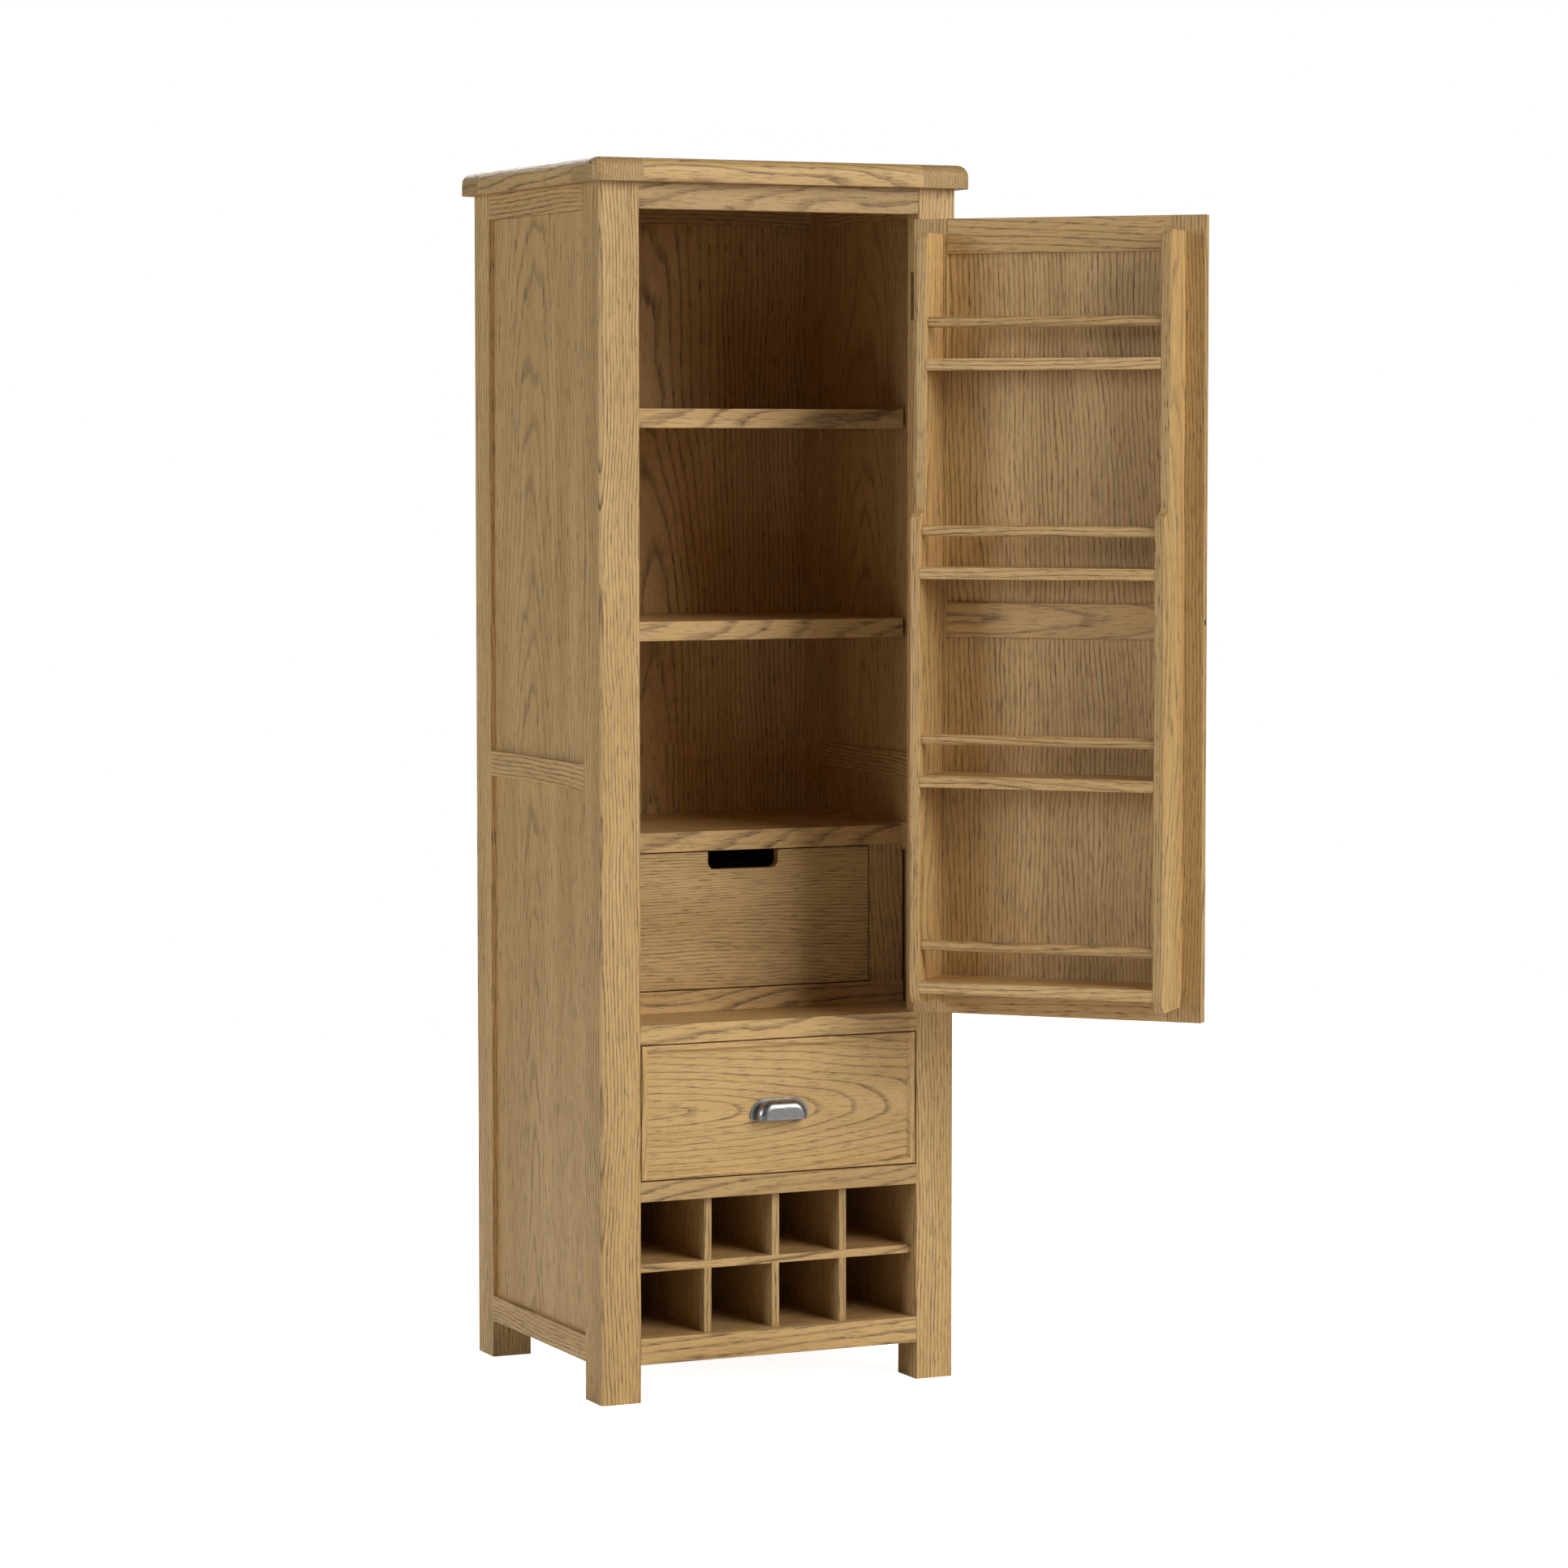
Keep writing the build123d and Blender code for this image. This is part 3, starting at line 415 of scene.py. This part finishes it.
def open_pores(tree, local, early, weight, strength):
    """How dark each point is: broken lines along the rings, and loose flecks between."""
    streak = tree.spread(tree.noise(local, scale=STREAKS, detail=3.0, rough=0.65), *STREAK_RANGE)
    pores = tree.spread(tree.noise(local, scale=PORES), *PORE_RANGE)
    patches = tree.spread(tree.noise(local, scale=PATCHES), *NOISE_RANGE, *PATCH_STRENGTH)
    patches = tree.math("MULTIPLY", patches, strength)
    line = tree.math("MULTIPLY", early, weight)
    line = tree.math("MULTIPLY", line, tree.spread(streak, 0.0, 1.0, *STREAK_STRENGTH))
    flecks = tree.math("MULTIPLY", pores, tree.spread(early, 0.0, 1.0, *FLECK_STRENGTH))
    return tree.math("MAXIMUM", tree.math("MULTIPLY", line, patches), flecks, clamp=True)


def oak(node, grain, figure, turned=False, steps=(), ends=None, pitch=FLAT_PITCH):
    """Satin oak with dark open pores gathered along its growth rings.

    steps are the heights at which a node's next board begins.
    """
    tree = Tree("oak_" + node)
    seed = seeds[node]
    # Scales this node's ground and pores lighter or darker: mostly painted light and shade, partly the
    # board's own tone.
    shade_and_tone = PAINTED_SHADE_AND_TONE.get(node, 1.0)
    space = board_space(tree, grain, turned, ends)
    shift = tuple(NOISE_SPAN * scatter(seed, step) for step in range(3))
    for joint_z in steps:
        space = next_board(tree, space, joint_z)
    rings = growth_rings(tree, space, figure, pitch)
    local = tree.place(space, offset=shift)
    rings = tree.math("ADD", rings, FIRST_RING + RING_SPAN * scatter(seed, RING_DRAW))
    early, weight = ring_bands(tree, rings, pitch)
    dark = open_pores(tree, local, early, weight, FAINT_LINES.get(node, 1.0))
    broad = tree.spread(tree.noise(local, scale=CLOUDS, detail=3.0), *NOISE_RANGE)
    fibre = tree.noise(local, scale=FIBRES, detail=1.0)
    ground = tree.mix(broad, scaled(WARM, shade_and_tone), scaled(PALE, shade_and_tone))
    tint = tree.spread(fibre, *NOISE_RANGE, 0.0, FIBRE_TINT)
    ground = tree.mix(tint, ground, scaled(WARM, FIBRE_SHADE * shade_and_tone))
    colour = tree.mix(dark, ground, scaled(PORE, shade_and_tone))
    tree.feed(tree.shader.inputs["Base Color"], colour)
    tree.feed(tree.shader.inputs["Roughness"], tree.spread(dark, 0.0, 1.0, *OAK_ROUGH))
    tree.shader.inputs["Specular IOR Level"].default_value = OAK_SPECULAR
    height = tree.math("SUBTRACT", tree.math("MULTIPLY", fibre, FIBRE_HEIGHT), dark)
    tree.feed(tree.shader.inputs["Normal"], tree.bump(height, OAK_BUMP, OAK_BUMP_DEPTH))
    return tree.material


# ---------------------------------------------------------------- metals


def worn_steel(name, colour, rough):
    """Old steel, cloudy in gloss, with patches of dark patina."""
    tree = Tree(name)
    point = tree.point()
    clouds = tree.noise(point, scale=METAL_CLOUDS, detail=4.0)
    specks = tree.noise(point, scale=METAL_SPECKS)
    patina = tree.spread(clouds, *PATINA_RANGE, 0.0, PATINA_MOST)
    shade = tree.mix(patina, colour, scaled(colour, PATINA_SHADE))
    tree.feed(tree.shader.inputs["Base Color"], shade)
    tree.shader.inputs["Metallic"].default_value = 1.0
    gloss = tree.spread(clouds, *NOISE_RANGE, rough, rough + CLOUDY_ROUGH)
    tree.feed(tree.shader.inputs["Roughness"], gloss)
    tree.feed(tree.shader.inputs["Normal"], tree.bump(specks, SPECK_BUMP, SPECK_BUMP_DEPTH))
    return tree.material


def plain_metal(name, colour, rough):
    """Machine-made metal with a fine brushed grain."""
    tree = Tree(name)
    lines = tree.noise(tree.point(), scale=BRUSH_LINES)
    brushed = tree.spread(lines, *NOISE_RANGE, 0.0, BRUSH_MOST)
    shade = tree.mix(brushed, colour, scaled(colour, BRUSH_SHADE))
    tree.feed(tree.shader.inputs["Base Color"], shade)
    tree.shader.inputs["Metallic"].default_value = 1.0
    gloss = tree.spread(lines, *NOISE_RANGE, rough, rough + BRUSHED_ROUGH)
    tree.feed(tree.shader.inputs["Roughness"], gloss)
    return tree.material


# ---------------------------------------------------------------- what each node wears


def middle(node):
    low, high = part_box(node)
    return (low + high) / 2


def figure_from(across, through, heart):
    """The figure of a board from a place across and through it, and the heart seen from there."""
    aside, behind, lean = heart
    return (across + aside, through + behind, lean)


def dress(node, material):
    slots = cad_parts[node].data.materials
    slots.clear()
    slots.append(material)


def dress_upright(node, heart, **more):
    centre = middle(node)
    dress(node, oak(node, ALONG_Z, figure_from(centre.x, centre.y, heart), **more))


def dress_level(node, grain, heart, **more):
    centre = middle(node)
    dress(node, oak(node, grain, figure_from(centre.z, centre.y, heart), **more))


def dress_carcass():
    for node in STRAIGHT_UPRIGHTS:
        dress_upright(node, UPRIGHT_HEART, pitch=FINE_PITCH)
    for node in LEVEL_BOARDS:
        dress_level(node, ALONG_X, LEVEL_HEART)
    for node in ("left_side_rails", "right_side_rails"):
        centre = middle(node)
        dress(node, oak(node, ALONG_Y, figure_from(centre.z, centre.x, SIDE_RAIL_HEART)))
    split = middle("left_side_rails").z
    for node in ("left_side_panels", "right_side_panels"):
        centre = middle(node)
        figure = figure_from(centre.y, centre.x, SIDE_PANEL_HEART)
        dress(node, oak(node, ALONG_Z_SIDEWAYS, figure, steps=(split,)))
    dress_upright("back_boards", BACK_HEART, steps=(BACK_JOINT_Z,))


def dress_top():
    leg_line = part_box("front_rail_top")[1].z
    figure = figure_from(leg_line, 0.0, TOP_HEART)
    dress("top_panel", oak("top_panel", ALONG_X, figure))
    ends = (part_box("top_panel")[1].x - TOP_REBATE, ALONG_Y)
    dress("cornice_edges", oak("cornice_edges", ALONG_X, figure, ends=ends))
    figure = figure_from(leg_line, 0.0, CORNER_BLOCK_HEART)
    dress("cornice_corner_blocks", oak("cornice_corner_blocks", ALONG_Y, figure, pitch=FINE_PITCH))


def dress_drawers():
    beads = (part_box("outer_drawer_front")[1].x - BEAD_WIDTH, ALONG_Z)
    dress_level("outer_drawer_front", ALONG_X, OUTER_DRAWER_HEART, ends=beads, pitch=WIDE_PITCH)
    dress_level("inner_drawer_front", ALONG_X, INNER_DRAWER_HEART, pitch=FINE_PITCH)
    for prefix in ("outer_drawer_", "inner_drawer_"):
        for part, grain in (("sides", ALONG_Y), ("back", ALONG_X), ("bottom", ALONG_X)):
            dress_level(prefix + part, grain, DRAWER_BOX_HEART)


def dress_door():
    rail_z = middle("door_rails").z
    for node in ("door_stile_hinge", "door_stile_free", "rack_side_hinge", "rack_side_free"):
        dress(node, oak(node, ALONG_Z, DOOR_STILE_FIGURE, turned=True, pitch=FINE_PITCH))
    panels = oak("door_panels", ALONG_Z, DOOR_PANEL_FIGURE, turned=True, steps=(rail_z,), pitch=FINE_PITCH)
    dress("door_panels", panels)
    figure = figure_from(rail_z, 0.0, DOOR_RAIL_HEART)
    dress("door_rails", oak("door_rails", ALONG_X, figure, turned=True, pitch=WIDE_PITCH))
    for node in ("rack_shelves", "rack_rails"):
        dress(node, oak(node, ALONG_X, RACK_FIGURE, turned=True))


def dress_metal():
    pewter = worn_steel("antique_steel", PEWTER, PEWTER_ROUGH)
    hinge = plain_metal("hinge_steel", HINGE_GOLD, HINGE_ROUGH)
    screw = plain_metal("screw_steel", BARE_STEEL, SCREW_ROUGH)
    for node in ("cup_pull", "door_knob"):
        dress(node, pewter)
    for node in ("hinge_frame_leaves", "hinge_door_leaves", "hinge_pins"):
        dress(node, hinge)
    for node in SCREW_STEEL_NODES:
        dress(node, screw)


# ---------------------------------------------------------------- stage, light and camera


def make_floor():
    """A pale floor that reads as white to the camera without lighting the cabinet."""
    size = FLOOR_REACH
    mesh = bpy.data.meshes.new("floor")
    corners = [(-size, -size, 0), (size, -size, 0), (size, size, 0), (-size, size, 0)]
    mesh.from_pydata(corners, [], [(0, 1, 2, 3)])
    floor = bpy.data.objects.new("floor", mesh)
    bpy.context.scene.collection.objects.link(floor)
    tree = Tree("pale_floor")
    tree.shader.inputs["Base Color"].default_value = FLOOR_COLOUR
    tree.shader.inputs["Roughness"].default_value = FLOOR_ROUGH
    tree.shader.inputs["Emission Color"].default_value = WHITE
    sight = tree.add("ShaderNodeLightPath").outputs["Is Camera Ray"]
    tree.feed(tree.shader.inputs["Emission Strength"], tree.math("MULTIPLY", sight, FLOOR_GLOW))
    mesh.materials.append(tree.material)


def soft_light(name, azimuth, elevation, distance, size, brightness, colour):
    """A square soft box. A white card facing it from the cabinet would read this bright."""
    a = math.radians(azimuth)
    e = math.radians(elevation)
    away = Vector((math.sin(a) * math.cos(e), -math.cos(a) * math.cos(e), math.sin(e)))
    data = bpy.data.lights.new(name, "AREA")
    data.shape = "SQUARE"
    data.color = colour
    data.size = size
    data.energy = brightness * math.pi ** 2 * distance ** 2
    lamp = bpy.data.objects.new(name, data)
    lamp.location = TARGET + away * distance
    lamp.rotation_euler = (-away).to_track_quat("-Z", "Y").to_euler()
    bpy.context.scene.collection.objects.link(lamp)


def make_lights():
    """A large key from the front right, a cool side light from the left, and a fill behind."""
    soft_light("key_right", azimuth=30.0, elevation=24.0, distance=9.0, size=6.0,
               brightness=0.79, colour=(1.0, 0.98, 0.91))
    soft_light("side_left", azimuth=-80.0, elevation=12.0, distance=6.5, size=2.6,
               brightness=0.335, colour=(0.94, 0.98, 1.06))
    soft_light("rear_fill", azimuth=170.0, elevation=25.0, distance=6.0, size=3.0,
               brightness=0.50, colour=(1.0, 1.0, 1.0))


def make_world():
    """A white surround that lights the room only faintly."""
    world = bpy.data.worlds.new("surround")
    bpy.context.scene.world = world
    world.use_nodes = True
    nodes = world.node_tree.nodes
    links = world.node_tree.links
    background = nodes["Background"]
    background.inputs["Color"].default_value = WHITE
    path = nodes.new("ShaderNodeLightPath")
    strength = nodes.new("ShaderNodeMapRange")
    strength.inputs["To Min"].default_value = AMBIENT
    strength.inputs["To Max"].default_value = 1.0
    links.new(path.outputs["Is Camera Ray"], strength.inputs["Value"])
    links.new(strength.outputs[0], background.inputs["Strength"])


def make_camera():
    data = bpy.data.cameras.new("camera")
    data.lens = CAMERA_LENS
    data.sensor_width = CAMERA_SENSOR
    data.clip_end = CAMERA_FAR
    camera = bpy.data.objects.new("camera", data)
    camera.location = CAMERA_AT
    camera.rotation_euler = (math.pi / 2 - CAMERA_DOWN, 0.0, -CAMERA_YAW)
    bpy.context.scene.collection.objects.link(camera)
    bpy.context.scene.camera = camera


make_camera()
make_floor()
make_world()
make_lights()
bpy.context.scene.view_settings.view_transform = "Standard"

dress_carcass()
dress_top()
dress_drawers()
dress_door()
dress_metal()
